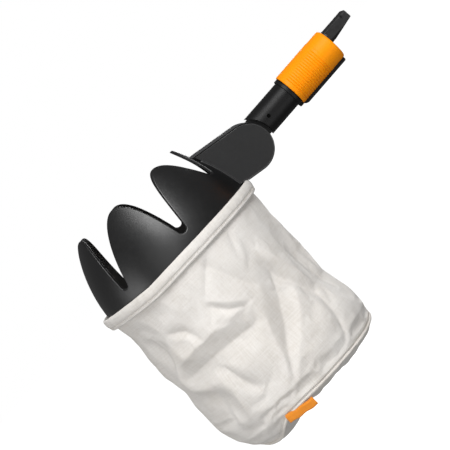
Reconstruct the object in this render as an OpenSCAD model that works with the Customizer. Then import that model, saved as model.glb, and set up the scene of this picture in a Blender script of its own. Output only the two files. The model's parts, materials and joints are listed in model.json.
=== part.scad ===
// Pole-mounted fruit picker head: a ring of petal fingers over a canvas bag,
// tilting on a clamped hinge at the end of a quick-fit coupling for a pole.
//
// Frame: +X runs along the pole away from the head, +Z is the side the picking
// ring opens to (the bag hangs on -Z), and Y = 0 is the mirror plane.
// The origin is on the axis of the round root of the coupling spigot,
// in the plane of the locking sleeve's mouth.

/* [Picking ring] */
// Inner-to-outer radius of the ring at the top of the bag's hem
ring_r = 80.3; // [79.8:0.1:80.5]
// Wall of the ring and its petals
ring_wall = 2.8; // [2.2:0.1:3.2]
// Height of the petal tips above the hem
petal_h = 64; // [60:0.5:66]
// Number of petals
petals = 7; // [5:1:9]
// Depth of the skirt that the bag grips, below the hem's top
skirt_h = 14; // [12:0.5:18]

/* [Hinge] */
// Radius of the rounded cheek ends
cheek_r = 21.3; // [20.5:0.1:21.6]
// Distance from the ring's centre to the hinge axis, along the ring's plane
pivot_h = 105; // [104:0.5:108]
// Height of the hinge axis above the hem's top, along the ring's axis
pivot_z = 19.1; // [18:0.1:20]
// Angle of the ring's plane to the tube in the straight position
ring_tilt = 4.2; // [3:0.1:6]
// Angle of the cheeks' centre line below the ring's plane
cheek_tilt = 9; // [7:0.5:11]

/* [Tube and coupling] */
// Radius of the tube
tube_r = 13.25; // [13:0.05:13.4]
// Height of the tube's axis above the hinge axis
tube_up = 5.9; // [5:0.1:6.5]
// Distance from the hinge axis to the mouth of the locking sleeve
mouth_s = 113.2; // [112:0.1:116]
// Outer radius of the locking sleeve
sleeve_r = 16; // [15.9:0.1:16.4]
// Length of the locking sleeve
sleeve_l = 53.2; // [52.8:0.1:53.4]
// Radius of the spigot's round root
spigot_r = 6.8; // [6.4:0.1:6.9]
// Length of the spigot beyond the sleeve's mouth
spigot_l = 27.8; // [24:0.2:30]

/* [Bag] */
// Depth of the bag below the hem's top
bag_depth = 171; // [165:1:176]
// Thickness of the canvas
canvas = 1.4; // [1.2:0.1:1.8]

/* [Hidden] */
$fn = 96;

tz = -5.8;                  // tube axis height in the frame
px = -mouth_s;              // hinge axis
pz = tz - tube_up;
slot_y = 8.5;               // half the gap between the cheeks
cheek_y = 13.5;             // outer face of the cheeks
cover_y = 16;               // outer face of the covers
seam_b = 151;               // depth of the bag's bottom seam
hem_z = 1.6;                // top of the rolled hem above the reference ring
rib_h = 2.7;                // the guide rib stands this far out of the sleeve

// Ring coordinates: origin at the centre of the ring, at the hem's top
module ring_frame() {
    translate([px, 0, pz]) rotate([0, ring_tilt, 0])
        translate([-pivot_h, 0, -pivot_z]) children();
}
// Tube coordinates: x is the distance from the hinge axis, along the tube
module tube_frame() { translate([px, 0, tz]) children(); }
// Hinge coordinates: the hinge axis runs along local z, which is -Y
module along_y(y0, y1) { translate([0, y0, 0]) rotate([-90, 0, 0]) linear_extrude(y1 - y0) children(); }
module cyl_y(r, y0, y1) { translate([0, y0, 0]) rotate([-90, 0, 0]) cylinder(r = r, h = y1 - y0); }
module cyl_x(r, x0, x1) { translate([x0, 0, 0]) rotate([0, 90, 0]) cylinder(r = r, h = x1 - x0); }

// Dome of the petals: outer radius at a height above the hem
function dome_r(z) = ring_r - 0.1 * max(z, 0) - 0.004 * pow(max(z, 0), 2);
dome_z = [-skirt_h, -skirt_h + 3, 0, 12, 24, 36, 46, 54, petal_h + 3];

// Half-width of a petal at a height, round-tipped
function petal_w(z) = let (u = (z - 10) / 54) 32 * sqrt(max(0, 1 - pow(max(u, 0), 1.08)));
petal_zs = [14, 20, 26, 33, 41, 48, 54, 58.5, 61.5, 63.2];

// Outline of the ring's top edge as [angle, height] columns, one petal at a
// time. The two gaps beside the hinge are shallower than the others.
function gap_foot(i) = (i == 0 || i == petals - 1) ? 26.6 : 10.5;
function side(i, dir) = let (f = gap_foot(i), zs = [for (z = petal_zs) if (z > f + 2) z])
    concat([[180 / petals, f], [180 / petals - 1.5, f + 0.5]],
        [for (z = zs) [min(180 / petals - 2, petal_w(z) / dome_r(z) * 57.3), z]]);
function petal_cols(i) = let (c = i * 360 / petals, up = side((i + petals - 1) % petals), dn = side(i))
    concat([for (q = up) [c - q[0], q[1] * (q[1] > 30 ? petal_h / 64 : 1)]], [[c, petal_h]],
        [for (k = [len(dn) - 1:-1:1]) [c + dn[k][0], dn[k][1] * (dn[k][1] > 30 ? petal_h / 64 : 1)]]);
ring_rows = 5;

// One side plate of the bracket, drawn flat in ring coordinates (h, z)
module cheek_outline(r, grow) {
    translate([pivot_h, pivot_z]) rotate(-cheek_tilt) {
        circle(r = r);
        translate([-60, -r]) square([60, 2 * r + grow]);
    }
}
// The lip along the top edge of a side plate
module lip_outline(low) {
    top = cheek_r + 2.3;
    translate([pivot_h, pivot_z]) rotate(-cheek_tilt) polygon(concat(
        [[-60, low], [-60, top]],
        [for (a = [90:-4:62]) let (r = top - (90 - a) * 0.07) [r * cos(a), r * sin(a)]],
        [for (a = [62:4:90]) [low * cos(a), low * sin(a)]]));
}

// Ring with its petals: one closed shell, columns round the ring
module picker_ring() {
    cols = [for (i = [0:petals - 1]) each petal_cols(i)];
    m = len(cols);
    n = ring_rows;
    row_z = function (c, i) -skirt_h + (c[1] + skirt_h) * i / n;
    pts = concat(
        [for (c = cols, i = [0:n]) let (z = row_z(c, i), r = dome_r(z)) [r * cos(c[0]), r * sin(c[0]), z]],
        [for (c = cols, i = [0:n]) let (z = row_z(c, i), r = dome_r(z) - ring_wall) [r * cos(c[0]), r * sin(c[0]), z]]);
    k = n + 1;
    in0 = m * k;
    color([0.09, 0.09, 0.09]) ring_frame() polyhedron(pts, concat(
        [for (j = [0:m - 1], i = [0:n - 1]) let (a = j * k + i, b = ((j + 1) % m) * k + i) each [[a, a + 1, b + 1], [a, b + 1, b]]],
        [for (j = [0:m - 1], i = [0:n - 1]) let (a = in0 + j * k + i, b = in0 + ((j + 1) % m) * k + i) each [[a, b + 1, a + 1], [a, b, b + 1]]],
        [for (j = [0:m - 1]) let (a = j * k + n, b = ((j + 1) % m) * k + n) each [[a, in0 + a, in0 + b], [a, in0 + b, b]]],
        [for (j = [0:m - 1]) let (a = j * k, b = ((j + 1) % m) * k) each [[a, in0 + b, in0 + a], [a, b, in0 + b]]]),
        convexity = 10);
}

// Two side plates with a lip along their top edges, welded to the ring
module hinge_bracket() {
    color([0.1, 0.1, 0.1]) ring_frame() difference() {
        union() {
            for (s = [-1, 1]) {
                rotate([90, 0, 0]) translate([0, 0, s > 0 ? slot_y : -cheek_y])
                    linear_extrude(cheek_y - slot_y) cheek_outline(cheek_r, 0);
                rotate([90, 0, 0]) translate([0, 0, s > 0 ? slot_y : -cheek_y])
                    linear_extrude(cheek_y - slot_y) lip_outline(cheek_r - 2);
                rotate([90, 0, 0]) translate([0, 0, s > 0 ? cheek_y - 1 : -cover_y - 0.5])
                    linear_extrude(cover_y + 1.5 - cheek_y) lip_outline(cheek_r + 0.15);
            }
            // web between the plates, against the ring
            translate([60, -slot_y - 1, 6]) cube([84.2 - 60, 2 * slot_y + 2, 34]);
        }
        ring_space();
        hem_space();
        translate([pivot_h, 0, pivot_z]) {
            cyl_y(2.55, -20, 20);
            cyl_y(6.2, -20, -11);
            cyl_y(6.2, 11, 20);
        }
    }
}

module cheek_cover() {
    // flat snap-on plate with a bevelled edge and a pocket for the bolt
    difference() {
        ring_frame() difference() {
            union() {
                rotate([90, 0, 0]) translate([0, 0, cheek_y]) linear_extrude(1.6) cheek_outline(cheek_r - 0.1, -0.3);
                rotate([90, 0, 0]) translate([0, 0, cheek_y + 1.5]) linear_extrude(1) cheek_outline(cheek_r - 0.9, -0.3);
            }
            ring_space();
            hem_space();
            translate([pivot_h, 0, pivot_z]) cyl_y(6.4, -14.9, -10);
        }
    }
}
// Room for the bag's hem under the bracket
module hem_space() { translate([0, 0, -30]) cylinder(r = 86.8, h = 30 + hem_z + 0.4, $fn = 120); }
module ring_space() {
    rotate_extrude($fn = 120) polygon(concat([[0, -skirt_h - 1]],
        [for (z = dome_z) [dome_r(z) + 0.05, z]], [[0, petal_h + 3]]));
}
module cheek_cover_front() { color([0.11, 0.11, 0.11]) cheek_cover(); }
module cheek_cover_rear() { color([0.11, 0.11, 0.11]) mirror([0, 1, 0]) cheek_cover(); }

// Clamp bolt and its stack, along Y through the cheeks
module pivot_bolt() {
    color("silver") translate([px, 0, pz]) difference() {
        union() {
            cyl_y(2.5, -12, 14.4);
            cyl_y(4.7, -14.5, -11.7);
        }
        translate([0, -14.6, 0]) rotate([-90, 0, 0]) cylinder(r = 1.75, h = 1.7, $fn = 6);
    }
}
module spring_washer() {
    color("silver") translate([px, 0, pz]) difference() { cyl_y(5.2, -11.7, -11); cyl_y(2.6, -12, -10); }
}
module flat_washer() {
    color("silver") translate([px, 0, pz]) difference() { cyl_y(5.2, 11, 11.9); cyl_y(2.6, 10, 13); }
}
module pivot_nut() {
    color("silver") translate([px, 0, pz]) difference() {
        translate([0, 11.9, 0]) rotate([-90, 0, 0]) cylinder(r = 4.62, h = 2.6, $fn = 6);
        cyl_y(2.5, 10, 16);
    }
}
module pivot_sleeve() {
    color("gray") translate([px, 0, pz]) difference() { cyl_y(4, -slot_y, slot_y); cyl_y(2.55, -9, 9); }
}
module pivot_bush() {
    color([0.72, 0.6, 0.35]) translate([px, 0, pz]) difference() { cyl_y(6, -7, 7); cyl_y(4.05, -8, 8); }
}
module friction_washers() {
    color([0.3, 0.3, 0.3]) translate([px, 0, pz]) for (y = [-8.4, 7])
        difference() { cyl_y(15.5, y, y + 1.4); cyl_y(6.2, y - 1, y + 3); }
}

// Tongue of the hinge with a round shank that plugs into the tube
module hinge_knuckle() {
    color([0.1, 0.1, 0.1]) difference() {
        union() {
            translate([px, 0, pz]) cyl_y(19, -7, 7);
            translate([px, -7, tz - 11.2]) cube([34, 14, 22.4]);
            tube_frame() cyl_x(9.95, 26, 50);
        }
        translate([px, 0, pz]) cyl_y(6, -8, 8);
        tube_frame() translate([31.2, 0, 0]) cyl_y(1.6, -20, 20);
    }
}
module knuckle_pin() {
    color([0.2, 0.2, 0.2]) tube_frame() translate([31.2, 0, 0]) cyl_y(1.6, -12.6, 12.6);
}
module tube_body() {
    color([0.12, 0.12, 0.12]) difference() {
        tube_frame() cyl_x(tube_r, 10, 72);
        tube_frame() difference() {
            cyl_x(10, 5, 80);
        }
        translate([px, 0, pz]) cyl_y(24.6, -20, 20);
        translate([px - 1, -7.1, tz - 11.3]) cube([36, 14.2, 22.6]);
        tube_frame() translate([31.2, 0, 0]) cyl_y(1.65, -20, 20);
        tube_frame() for (a = [0, 180]) rotate([a, 0, 0]) translate([64.5, 0, 0]) cylinder(r = 1.6, h = 20);
    }
}
module stop_collar() {
    color([0.1, 0.1, 0.1]) tube_frame() difference() {
        union() {
            cyl_x(14.8, 56.4, 59.3);
            translate([56.4, -3.2, -16.2]) cube([2.9, 6.4, 4]);
        }
        cyl_x(tube_r, 50, 60);
    }
}
// Rib under the tube that runs in the sleeve's slot and keeps it from turning
module guide_rib() {
    color([0.08, 0.08, 0.08]) tube_frame() difference() {
        union() {
            translate([52.5, -3.2, -sleeve_r - rib_h]) cube([58.9, 6.4, sleeve_r + rib_h - 13.6]);
            translate([60, -3.2, -14.5]) cube([12, 6.4, 2]);
        }
        cyl_x(tube_r, 40, 72);
        translate([56.4, -5, -16.2]) cube([2.9, 10, 10]);
        translate([52.5, -5, -sleeve_r - rib_h]) rotate([0, 40, 0]) translate([-8, 0, -4]) cube([8, 10, 14]);
        translate([111.4, -5, -sleeve_r - rib_h]) rotate([0, -45, 0]) translate([0, 0, -1.2]) cube([4, 10, 2.4], center = false);
    }
}
module coupling_spigot() {
    up = -tz;
    tip = mouth_s + spigot_l;
    color([0.1, 0.1, 0.1]) tube_frame() difference() {
        union() {
            cyl_x(9.95, 54, 96);
            cyl_x(12.9, 96, 98.4);
            translate([0, 0, up]) cyl_x(spigot_r, 98.4, mouth_s + 2);
            translate([0, 0, up]) cyl_x(spigot_r - 0.25, mouth_s + 1, tip);
        }
        // sloping underside and flat sides of the tongue
        translate([mouth_s + 2, -10, up - spigot_r - 12]) rotate([0, -8.6, 0]) translate([0, 0, -0.3]) cube([40, 20, 12]);
        for (s = [-1, 1]) translate([mouth_s + 2, s > 0 ? 5.4 : -15.4, up - 10]) cube([40, 10, 20]);
        // bevelled nose and a click notch near it
        translate([tip - 3, -10, up + spigot_r]) rotate([0, 35, 0]) cube([8, 20, 8]);
        translate([tip - 7, -6, up + 1.5]) cube([1.6, 2, 2.6]);
        cyl_x(6.5, 50, 90);
        for (a = [0, 180]) rotate([a, 0, 0]) translate([64.5, 0, 0]) cylinder(r = 1.5, h = 20);
    }
}
module spigot_screws() {
    color("silver") tube_frame() for (a = [0, 180]) rotate([a, 0, 0]) translate([64.5, 0, 7])
        cylinder(r = 1.5, h = 5.2);
}

// Locking sleeve: ribbed grip, slotted underneath for the guide rib
module lock_sleeve() {
    x0 = mouth_s - sleeve_l;
    n = 14;
    color([1, 0.55, 0]) tube_frame() difference() {
        translate([x0, 0, 0]) rotate([0, 90, 0]) rotate_extrude($fn = 96) polygon([
            [15.0, 0], [sleeve_r - 0.9, 0], [sleeve_r, 1], [sleeve_r, 37], [sleeve_r - 0.2, 39],
            [sleeve_r - 0.2, sleeve_l - 1.4], [sleeve_r - 1.2, sleeve_l], [14.2, sleeve_l],
            [14.2, 35.7], [10.3, 35.7], [10.3, 32.7], [13.33, 32.7], [13.33, 9.2], [15.0, 9.2]]);
        translate([x0 - 1, -3.5, -20]) cube([sleeve_l + 2, 7, 10]);
        for (i = [0:n - 1]) translate([x0 + 4 + i * 2.35, 0, 0]) difference() {
            cyl_x(sleeve_r + 1, 0, 0.9);
            translate([-1, 0, 0]) cyl_x(sleeve_r - 0.45, 0, 3);
        }
    }
}
module catch_ring() {
    color([0.15, 0.15, 0.15]) tube_frame() difference() {
        cyl_x(14.15, 108.5, 110.5);
        cyl_x(13.5, 100, 120);
        translate([100, -5, -20]) cube([20, 10, 12]);
        translate([0, 0, -tz]) cyl_x(7.9, 100, 120);
    }
}
// Return spring round the core, between the tube's end and the sleeve's flange
module sleeve_spring() {
    turns = 5; n = 16; wire = 0.6; r = 11.75; x0 = 72.7; x1 = 91.9;
    m = turns * n;
    function ring(i) = let (a = i * 360 / n, x = x0 + (x1 - x0) * i / m)
        [for (k = [0:7]) let (c = cos(k * 45) * wire, s = sin(k * 45) * wire)
            [x + s, (r + c) * cos(a), (r + c) * sin(a)]];
    pts = [for (i = [0:m]) each ring(i)];
    color("silver") tube_frame() polyhedron(pts, concat(
        [[for (k = [7:-1:0]) k]],
        [for (i = [0:m - 1], k = [0:7]) [i * 8 + k, i * 8 + (k + 1) % 8, (i + 1) * 8 + (k + 1) % 8, (i + 1) * 8 + k]],
        [[for (k = [0:7]) m * 8 + k]]), convexity = 8);
}

// Bag: outer radius at a depth below the hem's top
bag_b = [7, 16, 30, 60, 95, 122, 140, seam_b - 2, seam_b];
bag_r = [82.6, 82.2, 80.4, 80, 80.2, 81.6, 81.6, 80, 79.5];
bot_b = [seam_b, 158, 164, 168.5, bag_depth];
bot_r = [79.3, 76.5, 71, 62, 40];

module bag_body() {
    n = len(bag_b) - 1;
    color([0.88, 0.86, 0.83]) ring_frame() rotate_extrude($fn = 96) polygon(concat(
        [for (i = [0:n]) [bag_r[i], -bag_b[i]]],
        [for (i = [n:-1:0]) [bag_r[i] - canvas, -bag_b[i]]]));
}
module bag_bottom() {
    n = len(bot_b) - 1;
    color([0.86, 0.84, 0.81]) ring_frame() rotate_extrude($fn = 96) polygon(concat(
        [for (i = [0:n]) [bot_r[i], -bot_b[i] - 0.05]], [[0, -bag_depth - 0.05]],
        [[0, -bag_depth + canvas]],
        [for (i = [n:-1:0]) [bot_r[i] - canvas * (i == n ? 0.5 : 1), -bot_b[i] + (i == n ? canvas : i > 1 ? canvas * 0.6 : -0.05)]]));
}
// Rolled hem round the skirt of the ring, with a tunnel for the elastic
module bag_hem() {
    color([0.9, 0.88, 0.85]) ring_frame() rotate_extrude($fn = 96) polygon([
        [81.0, 0.4], [82.2, hem_z], [84.6, hem_z], [86, 0.4], [86.2, -6], [85.2, -8.6],
        [82.8, -8.6], [82.8, -6.9], [81.0, -6.9], [81.0, -6], [83.2, -6], [83.2, -0.6], [81.0, -0.6]]);
}
module hem_elastic() {
    color([0.8, 0.78, 0.74]) ring_frame() rotate_extrude($fn = 96) polygon([
        [81.1, -5.9], [83.1, -5.9], [83.1, -0.7], [81.1, -0.7]]);
}
module bottom_piping() {
    color([0.84, 0.82, 0.78]) ring_frame() rotate_extrude($fn = 96) translate([80.9, -seam_b]) circle(r = 1.3, $fn = 24);
}
module side_seam_tape() {
    n = len(bag_b) - 1;
    color([0.86, 0.84, 0.8]) ring_frame() rotate([0, 0, 86.5]) rotate_extrude(angle = 7, $fn = 96) polygon(concat(
        [for (i = [1:n - 1]) [bag_r[i] + 1.05, -bag_b[i]]],
        [for (i = [n - 1:-1:1]) [bag_r[i] + 0.08, -bag_b[i]]]));
}
module label_tab() {
    color([1, 0.55, 0]) ring_frame() rotate([0, 0, -102]) translate([82.4, -13.5, -seam_b - 8.5]) cube([1.1, 27, 8.6]);
}

picker_ring();
hinge_bracket();
cheek_cover_front();
cheek_cover_rear();
pivot_bolt();
spring_washer();
flat_washer();
pivot_nut();
pivot_sleeve();
pivot_bush();
friction_washers();
hinge_knuckle();
knuckle_pin();
tube_body();
stop_collar();
guide_rib();
coupling_spigot();
spigot_screws();
lock_sleeve();
catch_ring();
sleeve_spring();
bag_body();
bag_bottom();
bag_hem();
hem_elastic();
bottom_piping();
side_seam_tape();
label_tab();
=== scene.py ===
import bpy, bmesh, json, math
import numpy as np
from mathutils import Vector, Matrix, noise


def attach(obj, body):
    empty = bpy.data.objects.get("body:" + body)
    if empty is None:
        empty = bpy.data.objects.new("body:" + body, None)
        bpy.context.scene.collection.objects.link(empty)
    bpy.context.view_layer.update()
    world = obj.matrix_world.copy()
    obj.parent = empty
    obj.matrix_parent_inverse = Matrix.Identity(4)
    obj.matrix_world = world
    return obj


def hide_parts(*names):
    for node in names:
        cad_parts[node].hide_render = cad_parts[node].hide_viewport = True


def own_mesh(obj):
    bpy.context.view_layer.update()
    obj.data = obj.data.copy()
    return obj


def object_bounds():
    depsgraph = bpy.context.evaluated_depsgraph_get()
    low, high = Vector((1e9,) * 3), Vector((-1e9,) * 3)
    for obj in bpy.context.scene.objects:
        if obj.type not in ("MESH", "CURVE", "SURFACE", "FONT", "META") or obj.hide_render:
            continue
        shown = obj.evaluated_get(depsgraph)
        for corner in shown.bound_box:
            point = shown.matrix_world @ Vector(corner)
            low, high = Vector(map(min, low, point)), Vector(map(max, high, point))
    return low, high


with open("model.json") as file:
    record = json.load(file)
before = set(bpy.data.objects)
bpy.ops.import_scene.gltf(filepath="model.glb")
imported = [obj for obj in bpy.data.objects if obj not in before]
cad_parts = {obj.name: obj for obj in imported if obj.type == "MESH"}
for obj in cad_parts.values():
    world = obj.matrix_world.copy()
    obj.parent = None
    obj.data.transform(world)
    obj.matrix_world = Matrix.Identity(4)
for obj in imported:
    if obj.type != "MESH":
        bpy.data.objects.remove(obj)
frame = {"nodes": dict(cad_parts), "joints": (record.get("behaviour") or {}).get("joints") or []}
cad_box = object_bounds()
NODES = frame["nodes"]
MM = 0.001

# ------------------------------------------------------------------ frame
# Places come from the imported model: the hinge axis, and the ring's frame
joint = next(j for j in frame["joints"] if j["name"] == "head_tilt")
PIVOT = Vector(joint["pos_m"])
PIV_H, PIV_Z, TILT = 105.0, 19.1, math.radians(4.2)
RING = (Matrix.Translation(PIVOT) @ Matrix.Rotation(TILT, 4, "Y")
        @ Matrix.Translation(Vector((-PIV_H, 0, -PIV_Z)) * MM) @ Matrix.Scale(MM, 4))
TUBE_UP = 5.9
TUBE = Matrix.Translation(PIVOT + Vector((0, 0, TUBE_UP * MM))) @ Matrix.Scale(MM, 4)
HINGE = Matrix.Translation(PIVOT) @ Matrix.Scale(MM, 4)
RING_R, WALL, SKIRT, PETALS = 80.3, 2.8, 14.0, 7


def link(ob):
    bpy.context.scene.collection.objects.link(ob)
    return ob


def make(name, verts, faces, matrix=None, smooth=True, uvs=None):
    me = bpy.data.meshes.new(name)
    me.from_pydata([tuple(v) for v in verts], [], faces)
    if uvs is not None:
        lay = me.uv_layers.new(name="cloth")
        li = np.zeros(len(me.loops), np.int32)
        me.loops.foreach_get("vertex_index", li)
        lay.data.foreach_set("uv", np.asarray(uvs, np.float32)[li].ravel())
    if matrix is not None:
        me.transform(matrix)
    me.update()
    me.validate()
    if smooth:
        me.polygons.foreach_set("use_smooth", [True] * len(me.polygons))
    return link(bpy.data.objects.new(name, me))


def apply_all(ob):
    dg = bpy.context.evaluated_depsgraph_get()
    dg.update()
    me = bpy.data.meshes.new_from_object(ob.evaluated_get(dg), depsgraph=dg)
    ob.modifiers.clear()
    old = ob.data
    ob.data = me
    me.name = ob.name
    if old.users == 0:
        bpy.data.meshes.remove(old)
    return ob


def fix_normals(ob):
    bm = bmesh.new(); bm.from_mesh(ob.data)
    bmesh.ops.recalc_face_normals(bm, faces=bm.faces)
    bm.to_mesh(ob.data); bm.free()


def finish_piece(ob, mat, body, replaces=()):
    ob.data.materials.clear()
    ob.data.materials.append(mat)
    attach(ob, body)
    if replaces:
        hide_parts(*replaces)
    return ob


# ------------------------------------------------------------------ materials
class N:
    """A small helper for node trees."""
    def __init__(self, name):
        self.mat = bpy.data.materials.new(name)
        self.mat.use_nodes = True
        self.t = self.mat.node_tree
        self.b = self.t.nodes["Principled BSDF"]

    def n(self, kind, **kw):
        node = self.t.nodes.new(kind)
        for k, v in kw.items():
            if k.startswith("i_"):
                node.inputs[int(k[2:])].default_value = v
            else:
                setattr(node, k, v)
        return node

    def l(self, a, b):
        self.t.links.new(a, b)
        return a

    def math(self, op, a, b=None, c=None):
        m = self.n("ShaderNodeMath", operation=op)
        for i, x in enumerate((a, b, c)):
            if x is None:
                continue
            if isinstance(x, (int, float)):
                m.inputs[i].default_value = x
            else:
                self.l(x, m.inputs[i])
        return m.outputs[0]

    def obj(self):
        return self.n("ShaderNodeTexCoord").outputs["Object"]

    def noise(self, vec, scale, detail=3.0, rough=0.5):
        t = self.n("ShaderNodeTexNoise")
        t.inputs["Scale"].default_value = scale
        t.inputs["Detail"].default_value = detail
        t.inputs["Roughness"].default_value = rough
        self.l(vec, t.inputs["Vector"])
        return t.outputs["Fac"]

    def ramp(self, fac, stops):
        r = self.n("ShaderNodeValToRGB")
        e = r.color_ramp.elements
        while len(e) < len(stops):
            e.new(0.5)
        for el, (p, c) in zip(e, stops):
            el.position = p
            el.color = (*c, 1) if len(c) == 3 else c
        self.l(fac, r.inputs["Fac"])
        return r.outputs["Color"]

    def range(self, x, a, b, c, d):
        m = self.n("ShaderNodeMapRange")
        self.l(x, m.inputs[0])
        for i, v in enumerate((a, b, c, d)):
            m.inputs[i + 1].default_value = v
        return m.outputs[0]

    def bump(self, height, strength, dist, prev=None):
        b = self.n("ShaderNodeBump")
        b.inputs["Strength"].default_value = strength
        b.inputs["Distance"].default_value = dist
        self.l(height, b.inputs["Height"])
        if prev is not None:
            self.l(prev, b.inputs["Normal"])
        return b.outputs["Normal"]


def plastic(name, dark, light, rough, grain=2200.0, grain_strength=0.25, rough_var=0.08, spec=0.5, edge_wear_and_highlight=0.0, ior=1.5):
    m = N(name)
    o = m.obj()
    big = m.noise(o, 26.0, 4.0, 0.55)
    mid = m.noise(o, 240.0, 3.0, 0.6)
    mix = m.math("ADD", m.math("MULTIPLY", big, 0.65), m.math("MULTIPLY", mid, 0.35))
    col = m.ramp(mix, [(0.3, dark), (0.72, light)])
    # convex edges get a lighter colour from Pointiness: partly rubbed wear, partly a painted highlight along the edges
    if edge_wear_and_highlight:
        g = m.n("ShaderNodeNewGeometry")
        edge = m.range(g.outputs["Pointiness"], 0.505, 0.56, 0.0, edge_wear_and_highlight)
        mx = m.n("ShaderNodeMix", data_type="RGBA")
        m.l(edge, mx.inputs["Factor"])
        m.l(col, mx.inputs["A"])
        mx.inputs["B"].default_value = (min(1, light[0] * 3 + 0.04), min(1, light[1] * 3 + 0.04), min(1, light[2] * 3 + 0.04), 1)
        col = mx.outputs["Result"]
    m.l(col, m.b.inputs["Base Color"])
    m.l(m.range(mix, 0.3, 0.7, rough - rough_var, rough + rough_var), m.b.inputs["Roughness"])
    fine = m.noise(o, grain, 2.0, 0.6)
    nrm = m.bump(fine, grain_strength, 0.00012)
    wob = m.noise(o, 38.0, 2.0, 0.5)
    nrm = m.bump(wob, 0.12, 0.0006, nrm)
    m.l(nrm, m.b.inputs["Normal"])
    m.b.inputs["IOR"].default_value = ior
    m.b.inputs["Specular IOR Level"].default_value = spec
    return m.mat


def metal(name, col, rough):
    m = N(name)
    o = m.obj()
    n1 = m.noise(o, 300.0, 3.0, 0.6)
    m.l(m.ramp(n1, [(0.3, tuple(c * 0.85 for c in col)), (0.7, col)]), m.b.inputs["Base Color"])
    m.l(m.range(n1, 0.3, 0.7, rough - 0.06, rough + 0.08), m.b.inputs["Roughness"])
    m.b.inputs["Metallic"].default_value = 1.0
    m.l(m.bump(m.noise(o, 1800.0, 2.0), 0.15, 0.0001), m.b.inputs["Normal"])
    return m.mat


def canvas(name, warp=0.72, tint=(1, 1, 1), strength=0.55):
    """Plain weave from the piece's own cloth coordinates, in millimetres."""
    m = N(name)
    uv = m.n("ShaderNodeUVMap", uv_map="cloth").outputs["UV"]
    sep = m.n("ShaderNodeSeparateXYZ")
    m.l(uv, sep.inputs[0])
    o = m.obj()
    wob = m.noise(o, 900.0, 2.0, 0.5)
    k = math.pi / warp
    u = m.math("MULTIPLY_ADD", wob, 0.5, m.math("MULTIPLY", sep.outputs[0], k))
    v = m.math("MULTIPLY_ADD", wob, 0.5, m.math("MULTIPLY", sep.outputs[1], k))
    su, sv = m.math("SINE", u), m.math("SINE", v)
    au, av = m.math("ABSOLUTE", su), m.math("ABSOLUTE", sv)
    chk = m.math("MULTIPLY", m.math("SINE", m.math("MULTIPLY", u, 0.5)), m.math("SINE", m.math("MULTIPLY", v, 0.5)))
    chk = m.range(chk, -0.35, 0.35, 0.25, 1.0)
    inv = m.math("SUBTRACT", 1.25, chk)
    weave = m.math("MAXIMUM", m.math("MULTIPLY", au, chk), m.math("MULTIPLY", av, inv))
    # slubs: long streaks along the threads both ways
    mp1 = m.n("ShaderNodeMapping"); mp1.inputs["Scale"].default_value = (0.9, 0.06, 1)
    m.l(uv, mp1.inputs["Vector"])
    mp2 = m.n("ShaderNodeMapping"); mp2.inputs["Scale"].default_value = (0.05, 0.8, 1)
    m.l(uv, mp2.inputs["Vector"])
    s1 = m.noise(mp1.outputs[0], 1.0, 4.0, 0.6)
    s2 = m.noise(mp2.outputs[0], 1.0, 4.0, 0.6)
    slub = m.math("MULTIPLY", m.math("ADD", s1, s2), 0.5)
    stain = m.noise(o, 22.0, 4.0, 0.6)
    shade = m.math("ADD", m.math("MULTIPLY", slub, 0.6), m.math("MULTIPLY", stain, 0.4))
    col = m.ramp(shade, [(0.36, (0.71 * tint[0], 0.668 * tint[1], 0.615 * tint[2])),
                         (0.5, (0.81 * tint[0], 0.777 * tint[1], 0.738 * tint[2])),
                         (0.66, (0.875 * tint[0], 0.851 * tint[1], 0.82 * tint[2]))])
    # the colour is multiplied by fine grain and the weave: the grain is speckled tone, the darkening in the hollows
    # between the threads is painted shade
    dark = m.n("ShaderNodeMix", data_type="RGBA", blend_type="MULTIPLY")
    dark.inputs["Factor"].default_value = 0.5
    m.l(col, dark.inputs["A"])
    grain_c = m.noise(o, 800.0, 2.0, 0.6)
    m.l(m.ramp(m.math("MULTIPLY_ADD", grain_c, 0.55, m.math("MULTIPLY", weave, 0.6)), [(0.22, (0.66, 0.64, 0.60)), (0.70, (1, 1, 1))]), dark.inputs["B"])
    m.l(dark.outputs["Result"], m.b.inputs["Base Color"])
    m.b.inputs["Roughness"].default_value = 0.92
    m.b.inputs["Sheen Weight"].default_value = 0.25
    m.b.inputs["Sheen Roughness"].default_value = 0.6
    m.b.inputs["Specular IOR Level"].default_value = 0.2
    grainy = m.noise(o, 650.0, 3.0, 0.65)
    nrm = m.bump(slub, 0.45, 0.0006)
    nrm = m.bump(grainy, 0.65, 0.0005, nrm)
    nrm = m.bump(weave, strength, 0.00022, nrm)
    m.l(nrm, m.b.inputs["Normal"])
    return m.mat


def thread_mat(name, col):
    m = N(name)
    o = m.obj()
    n1 = m.noise(o, 1500.0, 2.0)
    m.l(m.ramp(n1, [(0.3, tuple(c * 0.8 for c in col)), (0.7, col)]), m.b.inputs["Base Color"])
    m.b.inputs["Roughness"].default_value = 0.85
    m.b.inputs["Sheen Weight"].default_value = 0.2
    m.l(m.bump(n1, 0.4, 0.0002), m.b.inputs["Normal"])
    return m.mat


M_RING = plastic("ring_black", (0.0035, 0.0035, 0.0038), (0.006, 0.006, 0.0063), 0.38, 1500, 0.30, 0.05, spec=0.72, edge_wear_and_highlight=0.0)
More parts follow.
